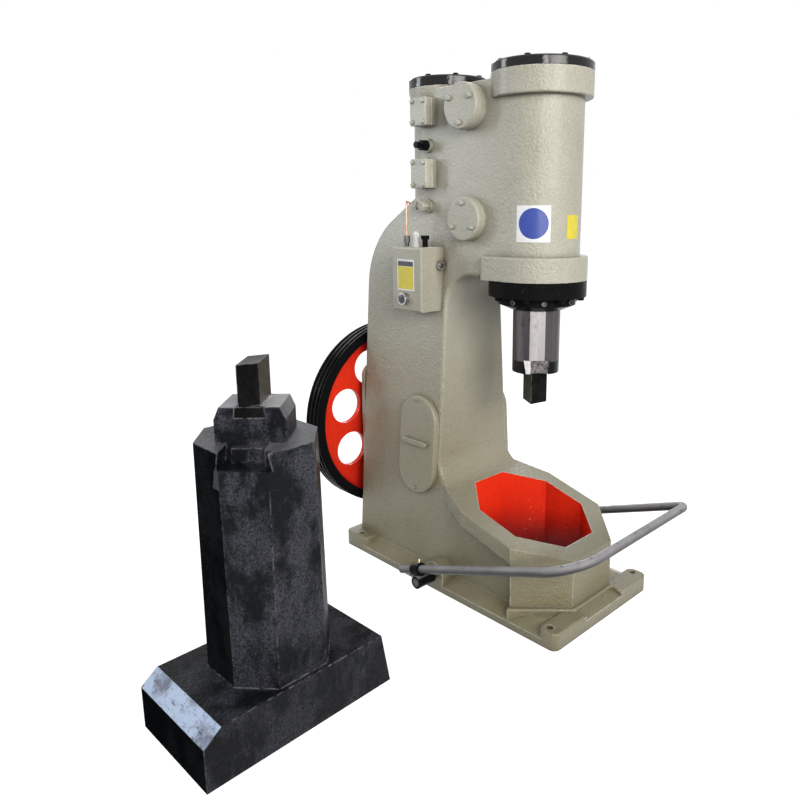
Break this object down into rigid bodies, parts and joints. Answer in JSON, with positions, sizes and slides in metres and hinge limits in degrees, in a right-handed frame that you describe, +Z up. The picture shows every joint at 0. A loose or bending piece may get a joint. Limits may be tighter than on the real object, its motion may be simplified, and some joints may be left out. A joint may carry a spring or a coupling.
{
  "type": "power forging hammer",
  "caption": "Self-contained air power forging hammer: cast C-frame with ram and compressor cylinders, flywheel, foot treadle, open anvil pit, and its separate anvil beside it.",
  "frame": {"origin": "centre of the hammer's four foundation bolt holes, at floor level", "axes": "+X towards the front of the hammer where the smith stands, +Y to the hammer's left, +Z up"},
  "size_m": [1.1655, 1.4988, 1.6],
  "materials": {
    "frame_paint": "satin grey-beige paint over rough casting",
    "black_enamel": "gloss black enamel",
    "ram_steel": "machined",
    "die_steel": "dark forged",
    "flywheel_paint": "gloss orange-red web inside a black rim",
    "tube_steel": "plain tube",
    "anvil_paint": "worn black paint",
    "clear_plastic": "clear",
    "copper": "bare copper",
    "plated": "plated"
  },
  "bodies": {
    "frame": {"frame_casting": "frame_paint", "ram_cylinder_cap": "black_enamel", "compressor_cap": "black_enamel", "gland_flange": "black_enamel", "gland_ring": "black_enamel", "rear_bearing_cover": "frame_paint", "upper_port_cover": "frame_paint", "lower_port_cover": "frame_paint", "check_valve": "black_enamel", "pipe_fitting": "frame_paint", "oil_box": "frame_paint", "oil_dome": "clear_plastic", "oil_knob": "black_enamel", "oil_ferrule": "black_enamel", "oil_pipe": "copper", "oil_sight_plug": "plated", "oil_side_plug": "plated", "anvil_block": "anvil_paint", "anvil_cap": "anvil_paint", "anvil_wedge": "ram_steel", "lower_die": "die_steel", "lower_die_wedge": "ram_steel", "upper_valve_cover_right": "frame_paint", "lower_valve_cover_right": "frame_paint", "inspection_cover_right": "frame_paint", "inspection_handle_right": "frame_paint", "upper_valve_cover_left": "frame_paint", "lower_valve_cover_left": "frame_paint", "inspection_cover_left": "frame_paint", "inspection_handle_left": "frame_paint"},
    "ram": {"ram": "ram_steel", "upper_die": "die_steel", "upper_die_wedge": "ram_steel"},
    "flywheel": {"flywheel": "flywheel_paint", "crankshaft": "ram_steel"},
    "treadle": {"treadle_bar": "tube_steel", "treadle_shaft": "tube_steel", "treadle_clamp_right": "black_enamel", "treadle_clamp_left": "black_enamel"}
  },
  "joints": [
    {"name": "ram_slide", "type": "slide", "parent": "frame", "child": "ram", "axis": [0, 0, 1], "range_m": [0, 0.18]},
    {"name": "flywheel_spin", "type": "hinge", "parent": "frame", "child": "flywheel", "pos_m": [-0.5, 0, 0.447], "axis": [1, 0, 0], "continuous": true},
    {"name": "treadle_pivot", "type": "hinge", "parent": "frame", "child": "treadle", "pos_m": [-0.025, 0, 0.05], "axis": [0, 1, 0], "range_deg": [0, 11], "stiffness_Nm_per_rad": 60, "springref_deg": -20.05}
  ]
}
